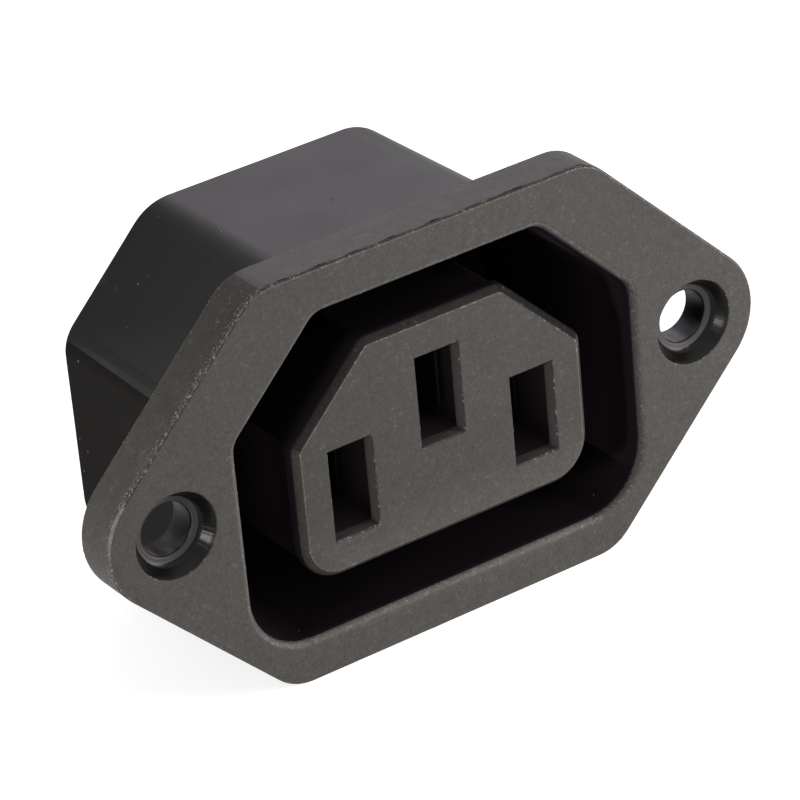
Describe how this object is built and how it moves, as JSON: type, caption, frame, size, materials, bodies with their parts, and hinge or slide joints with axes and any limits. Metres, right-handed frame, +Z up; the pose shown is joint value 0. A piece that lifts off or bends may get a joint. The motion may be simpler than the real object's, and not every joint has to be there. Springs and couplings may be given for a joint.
{
  "type": "panel power outlet socket",
  "caption": "Black panel outlet socket with a screw flange, a recess around a slotted nose, sprung contacts inside and solder or push-on tabs behind.",
  "frame": {"origin": "middle of the line between the two screw holes, in the flange's back face, which seats on the panel", "axes": "+X to the right seen from the front, along the flange; +Z up, towards the nose's cut corners; -Y forwards, where the plug comes in"},
  "size_m": [0.0496, 0.0276, 0.0282],
  "materials": {
    "housing": "fine matt mould texture",
    "contact_cover": "fine matt mould texture",
    "contact": "rolled strip, satin"
  },
  "bodies": {
    "root": {"housing": "housing", "contact_cover": "contact_cover", "line_contact": "contact", "neutral_contact": "contact", "earth_contact": "contact"}
  },
  "joints": []
}
